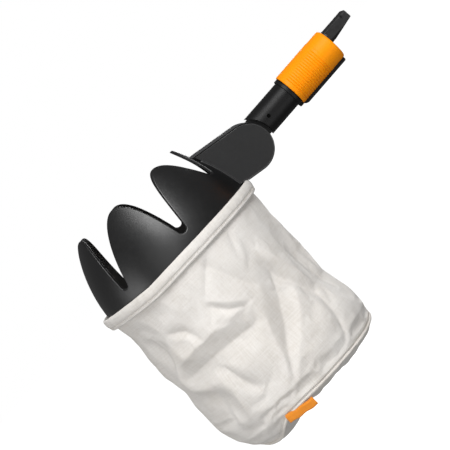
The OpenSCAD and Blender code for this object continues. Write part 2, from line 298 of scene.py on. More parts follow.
# the last number of these sets how much lighter the convex edges get: rubbed wear with a painted highlight
M_BRACKET = plastic("bracket_black", (0.006, 0.006, 0.0063), (0.010, 0.010, 0.0104), 0.48, 1900, 0.35, 0.05, spec=0.36, edge_wear_and_highlight=0.10)
M_COVER = plastic("cover_black", (0.010, 0.010, 0.0104), (0.016, 0.016, 0.0165), 0.52, 1700, 0.5, 0.04, spec=0.36, edge_wear_and_highlight=0.06)
M_TUBE = plastic("tube_black", (0.004, 0.004, 0.0043), (0.0075, 0.0075, 0.0078), 0.42, 2000, 0.35, 0.06, spec=0.20, edge_wear_and_highlight=0.06)
M_ORANGE = plastic("sleeve_orange", (1.0, 0.285, 0.0), (1.0, 0.335, 0.0), 0.45, 2600, 0.12, 0.05, spec=0.14)
M_WASHER = plastic("washer_grey", (0.05, 0.05, 0.052), (0.08, 0.08, 0.083), 0.5)
M_STEEL = metal("zinc_steel", (0.62, 0.62, 0.63), 0.32)
M_BRASS = metal("bush_brass", (0.72, 0.55, 0.27), 0.35)
M_SPIGOT = plastic("spigot_black", (0.012, 0.012, 0.0123), (0.022, 0.022, 0.0224), 0.40, 2000, 0.35, 0.06, spec=0.35, edge_wear_and_highlight=0.05)
# the pin's end is near-black with almost no reflection: painted shade of the dark dot where the pin sits in the tube
M_PIN_PAINTED_SHADE = plastic("pin_black_painted_shade", (0.001, 0.001, 0.001), (0.002, 0.002, 0.002), 0.7, 2000, 0.2, 0.05, spec=0.05)
# a lighter copy of the black plastic for the lips, cover rims and fillets: a painted highlight along these edges
M_EDGE_PAINTED_HIGHLIGHT = plastic("edge_black_painted_highlight", (0.030, 0.030, 0.031), (0.045, 0.045, 0.046), 0.36, 2000, 0.25, 0.05, spec=0.5)
M_CANVAS = canvas("bag_canvas")
M_HEM = canvas("hem_canvas", warp=0.7, tint=(1.0, 1.0, 1.0), strength=0.5)
M_TAPE = canvas("tape_canvas", warp=0.6, tint=(0.97, 0.96, 0.94), strength=0.6)
M_THREAD = thread_mat("sewing_thread", (0.80, 0.76, 0.69))
M_LABEL = canvas("label_weave", warp=0.35, tint=(1.05, 0.36, 0.02), strength=0.5)

for n, mat in {"tube_body": M_TUBE, "hinge_knuckle": M_TUBE, "knuckle_pin": M_PIN_PAINTED_SHADE, "stop_collar": M_TUBE,
               "guide_rib": M_TUBE, "coupling_spigot": M_TUBE, "lock_sleeve": M_ORANGE, "catch_ring": M_WASHER,
               "picker_ring": M_RING, "hinge_bracket": M_BRACKET, "cheek_cover_front": M_COVER,
               "cheek_cover_rear": M_COVER, "pivot_bolt": M_STEEL, "spring_washer": M_STEEL, "flat_washer": M_STEEL,
               "pivot_nut": M_STEEL, "pivot_sleeve": M_STEEL, "spigot_screws": M_STEEL, "sleeve_spring": M_STEEL,
               "pivot_bush": M_BRASS, "friction_washers": M_WASHER}.items():
    me = NODES[n].data
    if not me.materials:
        me.materials.append(mat)
    for i in range(len(me.materials)):
        me.materials[i] = mat


# ------------------------------------------------------------------ ring
def dome_r(z):
    z = max(z, 0.0)
    return RING_R - 0.1 * z - 0.004 * z * z


def petal_w(z):
    u = max((z - 10) / 54, 0.0)
    return 32 * math.sqrt(max(0.0, 1 - u ** 1.08))


def gap_half(z, foot):
    std = lambda q: math.pi * dome_r(q) / PETALS - petal_w(q)
    if foot > 20 and z < 46:
        k = max(0.0, (z - foot) / (46 - foot))
        return 2.7 + (std(46) - 2.7) * k ** 0.92
    return std(z)


def half_outline(foot):
    """From the middle of a gap to the tip of a petal: (distance from the gap's middle as an angle, height)."""
    hb, out = 3.2, []
    gb = gap_half(foot + hb, foot)
    for i in range(7):
        t = i / 7 * math.pi / 2
        out.append((gb * math.sin(t) / dome_r(foot), foot + hb * (1 - math.cos(t))))
    K, z0 = 26, foot + hb
    for k in range(K, 0, -1):
        z = 64 - (64 - z0) * (k / K) ** 2
        out.append((gap_half(z, foot) / dome_r(z), z))
    return out


def ring_mesh():
    pitch = 2 * math.pi / PETALS
    feet = [26.6 if g in (0, PETALS - 1) else 10.5 for g in range(PETALS)]
    line = []                                   # closed outline as (angle, height)
    for p in range(PETALS):
        c = p * pitch
        left, right = half_outline(feet[(p - 1) % PETALS]), half_outline(feet[p])
        line += [(c - pitch / 2 + a, z) for a, z in left] + [(c, 64.0)]
        line += [(c + pitch / 2 - a, z) for a, z in right[:0:-1]]
    n = len(line)
    flat = np.array([(a * dome_r(z), z) for a, z in line])
    # in-plane normals of the outline, for the holding row near the edge
    ins = []
    for j in range(n):
        a0, z0 = line[j - 1]; a1, z1 = line[(j + 1) % n]
        da = (a1 - a0 + math.pi) % (2 * math.pi) - math.pi
        tx, tz = da * dome_r(line[j][1]), z1 - z0
        L = math.hypot(tx, tz) or 1
        nx, nz = tz / L, -tx / L                # points down and into the petal
        d = 1.1
        a, z = line[j]
        ins.append((a + nx * d / dome_r(z), z + nz * d))
    rows = 22
    verts, idx = [], {}

    def add(key, a, z, r):
        idx[key] = len(verts)
        verts.append((r * math.cos(a), r * math.sin(a), z))
    for j in range(n):
        (a, z), (ai, zi) = line[j], ins[j]
        for side, off in (("o", 0.0), ("i", -WALL)):
            for i in range(rows):
                t = i / (rows - 1)
                zz = -SKIRT + (zi + SKIRT) * t
                aa = a + (ai - a) * t ** 4
                e = 0.35 if (i == 0) else 0.0
                add((side, j, i), aa, zz, dome_r(zz) + off - (e if side == "o" else -e))
            add((side, j, rows), a, z, dome_r(z) + off)
            add((side, j, rows + 1), a, z, dome_r(z) + (-1.0 if side == "o" else 1.0 - WALL))
    faces = []
    for j in range(n):
        k = (j + 1) % n
        for i in range(rows):
            faces.append((idx["o", j, i], idx["o", k, i], idx["o", k, i + 1], idx["o", j, i + 1]))
            faces.append((idx["i", j, i], idx["i", j, i + 1], idx["i", k, i + 1], idx["i", k, i]))
        faces.append((idx["o", j, rows], idx["o", k, rows], idx["o", k, rows + 1], idx["o", j, rows + 1]))
        faces.append((idx["o", j, rows + 1], idx["o", k, rows + 1], idx["i", k, rows + 1], idx["i", j, rows + 1]))
        faces.append((idx["i", j, rows + 1], idx["i", k, rows + 1], idx["i", k, rows], idx["i", j, rows]))
        faces.append((idx["o", j, 0], idx["i", j, 0], idx["i", k, 0], idx["o", k, 0]))
    ob = make("ring_petals", verts, faces, RING)
    fix_normals(ob)
    m = ob.modifiers.new("sub", "SUBSURF"); m.levels = m.render_levels = 1
    return apply_all(ob)


# ------------------------------------------------------------------ bracket
def prism(name, outline, y0, y1, matrix, bevel=0.6, segs=3, holes=()):
    """A flat plate: an outline in (x, z), from y0 to y1, with rounded edges."""
    bm = bmesh.new()
    n = len(outline)
    lo = [bm.verts.new((x, y0, z)) for x, z in outline]
    hi = [bm.verts.new((x, y1, z)) for x, z in outline]
    for i in range(n):
        bm.faces.new((lo[i], lo[(i + 1) % n], hi[(i + 1) % n], hi[i]))
    bm.faces.new(lo[::-1]); bm.faces.new(hi)
    bmesh.ops.recalc_face_normals(bm, faces=bm.faces)
    if bevel:
        sharp = [e for e in bm.edges if e.is_manifold and e.calc_face_angle(0) > math.radians(35)]
        bmesh.ops.bevel(bm, geom=sharp, offset=bevel, segments=segs, profile=0.5, affect="EDGES", clamp_overlap=True)
    me = bpy.data.meshes.new(name)
    bm.to_mesh(me); bm.free()
    me.transform(matrix)
    ob = link(bpy.data.objects.new(name, me))
    shade_by_angle(ob, 32)
    return ob


def shade_by_angle(ob, deg):
    me = ob.data
    me.polygons.foreach_set("use_smooth", [True] * len(me.polygons))
    bm = bmesh.new(); bm.from_mesh(me)
    for e in bm.edges:
        e.smooth = not (len(e.link_faces) == 2 and e.calc_face_angle(0) > math.radians(deg))
    bm.to_mesh(me); bm.free()
    m = ob.modifiers.new("wn", "WEIGHTED_NORMAL"); m.keep_sharp = True
    apply_all(ob)


CT = math.radians(9)
def hinge_xz(u, v):
    """Bracket coordinates to ring coordinates: u along the plates away from the hinge's far side, v across them."""
    return (PIV_H + u * math.cos(CT) + v * math.sin(CT), PIV_Z - u * math.sin(CT) + v * math.cos(CT))


def wall_edge(z_hi, z_lo, y, sink, n=16):
    """The ring's wall, seen from the side at a distance y from the middle."""
    out = []
    for i in range(n + 1):
        z = z_hi + (z_lo - z_hi) * i / n
        r = dome_r(z) - sink
        out.append((math.sqrt(max(r * r - y * y, 1)), z))
    return out


def cheek_outline(R, y, sink, low=2.2, n=40):
    pts = []
    for i in range(n + 1):                       # round end, from the top edge to the bottom edge
        a = math.radians(90 - 180 * i / n)
        pts.append(hinge_xz(R * math.cos(a), R * math.sin(a)))
    top0, bot0 = pts[0], pts[-1]
    # where the straight edges meet the wall
    def meet(v):
        u = 0.0
        while True:
            h, z = hinge_xz(u, v)
            r = dome_r(z) - sink
            if h <= math.sqrt(max(r * r - y * y, 1)) or u < -60:
                return h, z
            u -= 0.1
    bh, bz = meet(-R)
    th, tz_ = meet(R)
    edge = wall_edge(tz_, max(bz, low), y, sink)[::-1]
    if bz < low:                                 # the hem's space cuts the lower corner
        u = 0.0
        while hinge_xz(u, -R)[1] < low:
            u -= 0.05
            if u < -60:
                break
        u = 0.0
        zc = [q for q in np.arange(0, 60, 0.1) if hinge_xz(-q, -R)[1] >= low]
        hem_r = math.sqrt(86.9 ** 2 - y * y)
        pts = [p for p in pts if not (p[0] < hem_r and p[1] < low)]
        lowline = [hinge_xz(-q, -R) for q in np.arange(0, 60, 1.0) if hinge_xz(-q, -R)[0] > hem_r]
        pts += lowline[1:]
        pts.append((hem_r, pts[-1][1]))
        if pts[-1][1] < low:
            pts.append((hem_r, low))
        pts.append((edge[0][0] + 0.4, max(low, edge[0][1])))
    return pts + edge


def lip_poly(low, y, sink):
    top = 23.6
    pts = []
    for a in range(90, 56, -2):
        r = top - (90 - a) * 0.068
        pts.append(hinge_xz(r * math.cos(math.radians(a)), r * math.sin(math.radians(a))))
    for a in range(58, 91, 4):
        pts.append(hinge_xz(low * math.cos(math.radians(a)), low * math.sin(math.radians(a))))
    u = 0.0
    def meet(v):
        u = 0.0
        while True:
            h, z = hinge_xz(u, v)
            r = dome_r(z) - sink
            if h <= math.sqrt(max(r * r - y * y, 1)) or u < -60:
                return h, z
            u -= 0.1
    b, t = meet(low), meet(top)
    return pts + [b] + wall_edge(b[1], t[1], y, sink, 4)[1:]


def bevel_copy(node, width, segs=2, name=None, angle=30):
    """A CAD piece with its sharp edges eased."""
    src = NODES[node].data
    bm = bmesh.new(); bm.from_mesh(src)
    bmesh.ops.remove_doubles(bm, verts=bm.verts, dist=2e-6)
    bmesh.ops.dissolve_limit(bm, angle_limit=math.radians(0.6), verts=bm.verts, edges=bm.edges)
    sharp = [e for e in bm.edges if len(e.link_faces) == 2 and e.calc_face_angle(0) > math.radians(angle)]
    bmesh.ops.bevel(bm, geom=sharp, offset=width * MM, segments=segs, profile=0.5, affect="EDGES", clamp_overlap=True)
    me = bpy.data.meshes.new(name or node + "_eased")
    bm.to_mesh(me); bm.free()
    ob = link(bpy.data.objects.new(name or node + "_eased", me))
    shade_by_angle(ob, 30)
    return ob


ring = ring_mesh()
finish_piece(ring, M_RING, "head", ["picker_ring"])
first = True
for tag, sgn in (("front", -1), ("rear", 1)):
    def ys(a, b):
        return (min(sgn * a, sgn * b), max(sgn * a, sgn * b))
    y0, y1 = ys(8.5, 13.5)
    ck = prism("side_plate_" + tag, cheek_outline(21.3, 11, 0.9), y0, y1, RING, 0.5)
    finish_piece(ck, M_BRACKET, "head", ["hinge_bracket"] if first else ())
    y0, y1 = ys(13.45, 16.0)
    cv = prism("side_cover_" + tag, cheek_outline(20.5, 14.7, -1.0, low=3.0), y0, y1, RING, 0.85, 4)
    finish_piece(cv, M_COVER, "head", ["cheek_cover_" + tag])
    y0, y1 = ys(8.5, 16.6)
    lp = prism("side_lip_" + tag, lip_poly(21.35, 12, 0.9), y0, y1, RING, 0.7)
    # the lip is in the lighter black: a painted highlight along its top
    finish_piece(lp, M_EDGE_PAINTED_HIGHLIGHT, "head")
    first = False
web = prism("bracket_web", [(84.3, 6), (84.3, 38)] + wall_edge(38, 6, 4, 1.2), -8.8, 8.8, RING, 0.4)
finish_piece(web, M_BRACKET, "head")

for node, w in (("tube_body", 0.35), ("stop_collar", 0.4), ("coupling_spigot", 0.55), ("hinge_knuckle", 0.4)):
    finish_piece(bevel_copy(node, w), M_SPIGOT if node == "coupling_spigot" else M_TUBE, "coupling", [node])
rib_line = [(56.0, -13.7), (56.4, -15.2), (57.6, -15.8), (60.2, -16.2), (61.8, -17.9), (63.4, -18.6), (110.4, -18.6), (111.4, -17.8), (111.4, -13.7)]
finish_piece(prism("guide_rib_eased", rib_line, -3.2, 3.2, TUBE, 0.45), M_TUBE, "coupling", ["guide_rib"])

# ------------------------------------------------------------------ sleeve
def sleeve_mesh():
    x0, L, R = 113.2 - 53.2, 53.2, 16.0
    def outer(x):
        r = R
        if x < 1.2: r -= 0.7 * (1 - math.sqrt(max(0, 1 - (1 - x / 1.2) ** 2)))
        if x > L - 2.2: r -= 1.6 * (1 - math.sqrt(max(0, 1 - ((x - L + 2.2) / 2.2) ** 2)))
        if x > 38: r -= 0.28 * min(1, (x - 38) / 1.2)
        return r
    def rib(x, a):
        if not 3.2 < x < 36.6: return 0.0
        p = (x - 3.2) / 2.385
        f = p - math.floor(p)
        g = max(0.0, 1 - abs(f - 0.5) / 0.24)
        g = g * g * (3 - 2 * g)
        # the ribbed grip covers both flanks and the underside, and fades on top
        up = math.cos(a)                      # 1 at the top
        k = 1.0 if up < 0.45 else max(0.18, 1 - (up - 0.45) / 0.35)
        return 0.5 * g * k
    xs = sorted(set([round(v, 3) for v in np.arange(0, L + 0.01, 0.26)] + [L, 0.2, 0.5, L - 0.2, L - 0.5]))
    half = math.asin(3.5 / R)
    na = 120
    angs = [math.pi + half + (2 * math.pi - 2 * half) * i / na for i in range(na + 1)]  # 0 is the top
    inner = [(0.0, 15.0), (9.2, 15.0), (9.21, 13.33), (32.7, 13.33), (35.7, 13.33), (35.71, 14.2), (L, 14.2)]
    verts, faces = [], []
    prof_len = len(xs) + len(inner)
    for i, a in enumerate(angs):
        def at(r):                            # the slot's two walls are flat and parallel
            q = a if 0 < i < na else (math.pi + math.asin(3.5 / r) if i == 0 else 3 * math.pi - math.asin(3.5 / r))
            return r * math.sin(q), r * math.cos(q)
        for x in xs:
            verts.append((x0 + x, *at(outer(x) - rib(x, a))))
        for x, r in inner[::-1]:
            verts.append((x0 + x, *at(r)))
    for i in range(na):
        for j in range(prof_len):
            k = (j + 1) % prof_len
            faces.append((i * prof_len + j, (i + 1) * prof_len + j, (i + 1) * prof_len + k, i * prof_len + k))
    # slot walls: quads between the outer and the inner line
    for i in (0, na):
        o = [i * prof_len + j for j in range(len(xs))]
        q = [i * prof_len + len(xs) + j for j in range(len(inner))]
        f = o + q
        faces.append(tuple(f) if i else tuple(f[::-1]))
    ob = make("sleeve_grip", verts, faces, TUBE)
    fix_normals(ob)
    shade_by_angle(ob, 50)
    return ob


spring = link(bpy.data.objects.new("spring_coil", NODES["sleeve_spring"].data.copy()))
finish_piece(spring, M_STEEL, "coupling", ["sleeve_spring"])
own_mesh(spring)
finish_piece(sleeve_mesh(), M_ORANGE, "sleeve", ["lock_sleeve"])


# ------------------------------------------------------------------ bag
def lerp_tab(x, tab):
    return float(np.interp(x, [t[0] for t in tab], [t[1] for t in tab]))


RIGHT = [(0, 82.0), (12, 81.0), (33, 78.6), (73, 76.8), (97, 77.2), (121, 81.4), (139, 81.9), (150, 79.6), (157, 76)]
LEFT = [(0, 82.0), (12, 80.6), (24, 77.6), (34, 77.8), (58, 81.6), (69, 82.4), (88, 79.4), (104, 81.4), (133, 80.8), (150, 76.0), (160, 69.5), (168, 60.0)]
MID = [(0, 82.2), (12, 81.2), (30, 80.6), (70, 80.6), (110, 81.2), (138, 81.4), (150, 79.5), (160, 74), (169, 64)]
SEAM_B = 152.5
# creases: [(angle, depth) ...], height, reach above, reach below (negative height is a valley)
CREASES = [
    ([(-84, 80), (-104, 78), (-121, 77), (-146, 79)], -3.6, 9, 15),
    ([(-80, 67), (-89, 63), (-107, 62), (-122, 62), (-140, 65)], 1.9, 9, 5),
    ([(-98, 45), (-91, 58), (-82, 66)], -1.7, 3.0, 3.5),
    ([(-97, 40), (-90, 50), (-80, 61)], 2.2, 9, 6),
    ([(-84, 16), (-79, 31), (-76, 42), (-70, 58)], -2.2, 6, 5),
    ([(-81, 18), (-89, 28), (-97, 40)], -1.3, 4, 4),
    ([(-56, 64), (-62, 78), (-71, 95), (-81, 112)], -4.6, 12, 12),
    ([(-78, 106), (-86, 120), (-91, 131)], -2.2, 5, 5),
    ([(-79, 68), (-80, 83), (-84, 99), (-88, 116), (-93, 131)], 2.4, 4, 9),
    ([(-52, 84), (-62, 99), (-74, 116), (-88, 131)], 1.6, 6, 8),
    ([(-56, 52), (-51, 74), (-41, 100)], -3.4, 6, 6),
    ([(-52, 42), (-45, 64), (-38, 90)], 2.8, 7, 8),
    ([(-59, 12), (-61, 22), (-63, 30)], -2.0, 4, 4),
    ([(-131, 38), (-120, 47), (-115, 60)], -2.4, 5, 5),
    ([(-118, 91), (-115, 107), (-111, 121)], -2.6, 5, 7),
    ([(-41, 100), (-46, 125), (-53, 146)], -2.4, 6, 6),
    ([(-134, 98), (-133, 110), (-138, 126)], -3.0, 8, 8),
    ([(-144, 34), (-141, 48), (-144, 62)], -2.6, 8, 9),
    ([(-126, 92), (-124, 108), (-128, 130)], 1.8, 8, 8),
    ([(-30, 60), (-24, 86), (-20, 112)], -3.0, 8, 8),
    ([(-12, 30), (-8, 62), (-14, 92)], 2.2, 9, 9),
    # far side
    ([(30, 26), (44, 52), (50, 84), (46, 116)], -3.6, 9, 8),
    ([(62, 40), (76, 60), (98, 70), (120, 66)], -3.4, 8, 12),
    ([(60, 46), (70, 74), (88, 100), (96, 128)], 2.6, 8, 8),
    ([(120, 70), (112, 96), (104, 126)], -3.4, 9, 8),
    ([(140, 20), (146, 48), (158, 74), (160, 104)], -3.2, 9, 9),
    ([(20, 88), (34, 104), (42, 132)], -2.6, 6, 8),
    ([(76, 14), (82, 30), (78, 46)], -2.2, 5, 5),
    ([(150, 110), (140, 124), (134, 142)], -2.6, 7, 7),
    ([(172, 60), (178, 90), (170, 120)], -2.6, 8, 8),
]
TURN = [(-155, 26), (-145, 34), (-142, 49), (-143.5, 64), (-151, 76), (-150, 88), (-140, 94), (-133, 100), (-134, 111), (-138, 125), (-138, 139)]
BLOBS = [  # angle, depth, reach round, reach along, height
    (-150, 50, 18, 15, -2.2), (-153, 83, 17, 11, 2.4), (-137, 108, 15, 14, -2.2),
    (-50, 120, 20, 16, 2.4), (-104, 98, 18, 12, 1.8), (-105, 28, 22, 10, 0.8),
    (-68, 30, 14, 10, 1.4), (-30, 130, 16, 12, 1.8), (90, 84, 22, 16, 1.8), (40, 60, 16, 14, 1.6),
    (130, 100, 20, 16, 1.6), (10, 120, 18, 14, 1.8),
]


def seg_field(u, v, pts):
    """Distance, side and share along the line, for arrays u, v and a polyline in millimetres."""
    best = np.full(u.shape, 1e9); side = np.zeros(u.shape); along = np.zeros(u.shape)
    total = sum(math.dist(a, b) for a, b in zip(pts, pts[1:]))
    done = 0.0
    for a, b in zip(pts, pts[1:]):
        L = math.dist(a, b)
        dx, dy = (b[0] - a[0]) / L, (b[1] - a[1]) / L
        t = (u - a[0]) * dx + (v - a[1]) * dy
        raw = t.copy()
        t = np.clip(t, 0, L)
        px, py = u - (a[0] + dx * t), v - (a[1] + dy * t)
        d = np.hypot(px, py)
        s = px * (-dy) + py * dx
        m = d < best
        best[m] = d[m]; side[m] = s[m]; along[m] = ((done + raw) / total)[m]
        done += L
    return best, side, along, total


def folds(phi, b):
    """Outward displacement in millimetres of the cloth at an angle (degrees) and depth."""
    out = np.zeros(phi.shape)
    R = 80.0
    for line, height, w1, w2 in CREASES:
        c = line[len(line) // 2][0]
        rel = (phi - c + 180) % 360 - 180
        u = np.radians(rel) * R
        pts = [(math.radians(((p[0] - c + 180) % 360) - 180) * R, p[1]) for p in line]
        d, side, along, total = seg_field(u, b, pts)
        # the first reach is on the hem's side of the line
        wd = np.where(side * np.sign(pts[-1][0] - pts[0][0] + 1e-6) < 0, w1, w2)
        core = np.exp(-(d / wd) ** 2) * 0.55 + 0.45 * np.exp(-d / (0.55 * wd))
        end = 14.0 / total
        fade = np.clip((along + end) / (2 * end), 0, 1) * np.clip((1 - along + end) / (2 * end), 0, 1)
        fade = fade * fade * (3 - 2 * fade)
        out += 1.35 * height * core * fade
    # the big fold at the camera's left: the cloth turns away beyond this line
    rel = (phi + 142 + 180) % 360 - 180
    pts = [(math.radians(a + 142) * R, q) for a, q in TURN]
    d, side, along, total = seg_field(np.radians(rel) * R, b, pts)
    t = np.clip(np.where(side > 0, d, -d) / 10.0 + 0.1, 0, 1)
    t = t * t * (3 - 2 * t)
    end = np.clip((along + 0.02) / 0.12, 0, 1) * np.clip((1.05 - along) / 0.12, 0, 1)
    out += (1.1 * np.exp(-(d / 9.0) ** 2) - 4.6 * t * np.exp(-(d / 27.0) ** 2)) * end
    for a, bb, ru, rv, h in BLOBS:
        u = np.radians((phi - a + 180) % 360 - 180) * R
        out += h * np.exp(-(u / ru) ** 2 - ((b - bb) / rv) ** 2)
    return out


def wrinkle(phi, b):
    """Small wrinkles: crossing ridged noise, and short gathers under the hem."""
    out = np.zeros(phi.size)
    for i, (p, q) in enumerate(zip(phi.ravel(), b.ravel())):
        a = math.radians(p)
        P = Vector((math.cos(a) * 80, math.sin(a) * 80, q))
        n1 = noise.noise(P * 0.035 + Vector((3, 7, 1)))
        n2 = noise.noise(P * 0.075 + Vector((11, 2, 5)))
        r1 = 1 - abs(noise.noise(Vector((P.x * 0.05, P.y * 0.05, P.z * 0.028)) + Vector((1, 1, 9)))) * 2.4
        g = noise.noise(Vector((math.cos(a) * 17, math.sin(a) * 17, q * 0.02)))
        k = math.exp(-max(0.0, q - 9) / 9.0)
        kb = math.exp(-max(0.0, SEAM_B - q) / 7.0)
        g2 = noise.noise(Vector((math.cos(a) * 14, math.sin(a) * 14, 40.0)))
        out[i] = 1.2 * n1 + 0.55 * n2 + 0.55 * r1 + 1.3 * g * k + 0.35 * g2 * kb
    return out.reshape(phi.shape)


NP, NB, NR = 288, 104, 26
SEAM_TAB = [(-180, 164), (-165, 168), (-150, 169), (-136, 168.2), (-127, 165.0), (-118, 158.5), (-112, 154.0), (-100, 152.8), (-85, 153.4), (-60, 153.5), (-35, 154.5), (-10, 153), (30, 152), (70, 155), (110, 157), (150, 159), (180, 164)]
phis = np.arange(NP) * 360.0 / NP - 180.0
seam_at = np.array([lerp_tab(p, SEAM_TAB) for p in phis])
seam_at = np.convolve(np.concatenate([seam_at[-4:], seam_at, seam_at[:4]]), np.ones(9) / 9, "valid")
PH = np.repeat(phis[:, None], NB, 1)
BB = 6.0 + (seam_at[:, None] - 6.0) * np.linspace(0, 1, NB)[None, :]
cosp = np.cos(np.radians(PH))
rr = np.vectorize(lambda q: lerp_tab(q, RIGHT))(BB)
rl = np.vectorize(lambda q: lerp_tab(q, LEFT))(BB)
rm = np.vectorize(lambda q: lerp_tab(q, MID))(BB)
base = rm + np.where(cosp > 0, rr - rm, rl - rm) * cosp ** 2
top_k = np.clip((BB - 9) / 12, 0, 1)
bot_k = np.clip((seam_at[:, None] - BB) / 10, 0.12, 1)
disp = (folds(PH, BB) + wrinkle(PH, BB) * (0.85 - 0.3 * np.clip(-np.sin(np.radians(PH)) * 2, 0, 1))) * (top_k * 0.85 + 0.15 * (BB > 8)) * bot_k
rad = base + disp
side_pts = np.stack([rad * cosp, rad * np.sin(np.radians(PH)), -BB], -1)
# bottom panel: bulges below the seam and is flat in the middle
bt = np.linspace(0, 1, NR + 1)[1:]
verts = [tuple(p) for p in side_pts.reshape(-1, 3)]
uv = [(math.radians(PH[i, j]) * 80.0, BB[i, j]) for i in range(NP) for j in range(NB)]
for k, t in enumerate(bt):
    for i in range(NP):
        a = math.radians(phis[i])
        r0 = rad[i, -1]
        ang = t * math.pi / 2
        r = r0 * (1 - t) ** 1.0 if t > 0.35 else r0 * (1 - t)
        deep = min(171.5 - seam_at[i], 6.0) + 1.2 * max(0.0, -math.sin(a - 0.4))
        near_tab = math.exp(-((phis[i] + 118) / 20) ** 2)
        deep *= 1 - 0.55 * near_tab
        drop = deep * (1 - (1 - min(t / 0.30, 1)) ** 2.2)
        P = Vector((math.cos(a) * r * 0.03, math.sin(a) * r * 0.03, 3.3))
        n = noise.noise(P * 2.2) * 1.8 + noise.noise(P * 5.0) * 0.7
        r += (3.4 - 2.2 * near_tab) * math.sin(min(t / 0.22, 1) * math.pi)
        z = -(seam_at[i] + drop) + n * min(1, t * 6) * 0.9
        mid = min(max((t - 0.25) / 0.6, 0.0), 1.0)
        z += (-161.0 + n - z) * mid * mid * (3 - 2 * mid)
        z = max(z, -172.5)
        verts.append((math.cos(a) * r, math.sin(a) * r, z) if k < NR - 1 else (math.cos(a) * 0.6, math.sin(a) * 0.6, z))
        uv.append((math.cos(a) * r * 1.02 + 300, math.sin(a) * r * 1.02))
faces, kind = [], []
for i in range(NP):
    k = (i + 1) % NP
    for j in range(NB - 1):
        faces.append((i * NB + j, i * NB + j + 1, k * NB + j + 1, k * NB + j)); kind.append(0)
bot0 = NP * NB
for i in range(NP):
    k = (i + 1) % NP
    faces.append((i * NB + NB - 1, bot0 + i, bot0 + k, k * NB + NB - 1)); kind.append(1)
    for j in range(NR - 1):
        faces.append((bot0 + j * NP + i, bot0 + (j + 1) * NP + i, bot0 + (j + 1) * NP + k, bot0 + j * NP + k)); kind.append(1)
faces.append(tuple(bot0 + (NR - 1) * NP + i for i in range(NP))); kind.append(1)
cloth = make("bag_cloth_whole", verts, faces, RING)
fix_normals(cloth)


def simulate(ob, frames=18, cap=3.5):
    """Canvas settles and buckles a little: the cloth is cut slightly larger than its shape."""
    n = len(ob.data.vertices)
    start = np.zeros(n * 3); ob.data.vertices.foreach_get("co", start); start = start.reshape(-1, 3)
    g = ob.vertex_groups.new(name="pin")
    soft = ob.vertex_groups.new(name="unused")
    for i in range(NP):
        for j in range(NB):
            w = 1.0 if j < 4 else (0.9 if j >= NB - 2 else 0.0)
            if w:
                g.add([i * NB + j], w, "REPLACE")
    mod = ob.modifiers.new("cloth", "CLOTH")
    s = mod.settings
    s.quality = 6
    s.mass = 0.02
    s.tension_stiffness = s.compression_stiffness = 40
    s.shear_stiffness = 18
    s.bending_stiffness = 6.0
    s.tension_damping = s.compression_damping = 15
    s.shear_damping = 12
    s.bending_damping = 2.0
    s.air_damping = 8
    s.vertex_group_mass = "pin"
    s.pin_stiffness = 10
    s.shrink_min = -0.005
    s.use_pressure = True
    s.uniform_pressure_force = 0.25
    s.effector_weights.gravity = 0.35
    mod.collision_settings.use_collision = False
    mod.collision_settings.use_self_collision = False
    mod.point_cache.frame_start, mod.point_cache.frame_end = 1, frames + 1
    sc = bpy.context.scene
    for f in range(1, frames + 1):
        sc.frame_set(f)
    dg = bpy.context.evaluated_depsgraph_get()
    ev = ob.evaluated_get(dg)
    end = np.zeros(n * 3); ev.data.vertices.foreach_get("co", end); end = end.reshape(-1, 3)
    ob.modifiers.remove(mod)
    sc.frame_set(1)
    d = end - start
    L = np.linalg.norm(d, axis=1, keepdims=True)
    lim = cap * MM
    d = d * (lim * np.tanh(L / lim) / np.maximum(L, 1e-12))
    d[~np.isfinite(d).all(1)] = 0
    new = start + d
    ob.data.vertices.foreach_set("co", new.ravel())
    ob.data.update()
    print("cloth moved mean %.2f mm, most %.2f mm" % (float(L.mean()) * 1000, float(L.max()) * 1000))


simulate(cloth)
co = np.array([v.co for v in cloth.data.vertices])


def cloth_part(name, want, thick, mat, node):
    used = sorted({v for f, k in zip(faces, kind) if k == want for v in f})
    at = {v: i for i, v in enumerate(used)}
    fs = [tuple(at[v] for v in f) for f, k in zip(faces, kind) if k == want]
    ob = make(name, co[used], fs, None, True, [uv[v] for v in used])
    fix_normals(ob)
    if want == 0:      # close the seam of the cloth coordinates
        lay = ob.data.uv_layers["cloth"].data
        for p in ob.data.polygons:
            us = [lay[i].uv[0] for i in p.loop_indices]
            if max(us) - min(us) > 200:
                for i in p.loop_indices:
                    if lay[i].uv[0] < 0:
                        lay[i].uv[0] += 2 * math.pi * 80
    m = ob.modifiers.new("t", "SOLIDIFY"); m.thickness = thick * MM; m.offset = -1; m.use_rim = True
    if want == 0:
        m = ob.modifiers.new("s", "SUBSURF"); m.levels = m.render_levels = 1
    apply_all(ob)
    ob.data.polygons.foreach_set("use_smooth", [True] * len(ob.data.polygons))
    finish_piece(ob, mat, "head", [node])
    return ob


bag_side = cloth_part("bag_side_cloth", 0, 0.9, M_CANVAS, "bag_body")
bag_base = cloth_part("bag_bottom_cloth", 1, 0.9, M_CANVAS, "bag_bottom")
seam_loop = [Vector(co[i * NB + NB - 1]) for i in range(NP)]
bpy.data.objects.remove(cloth)

INV = RING.inverted()


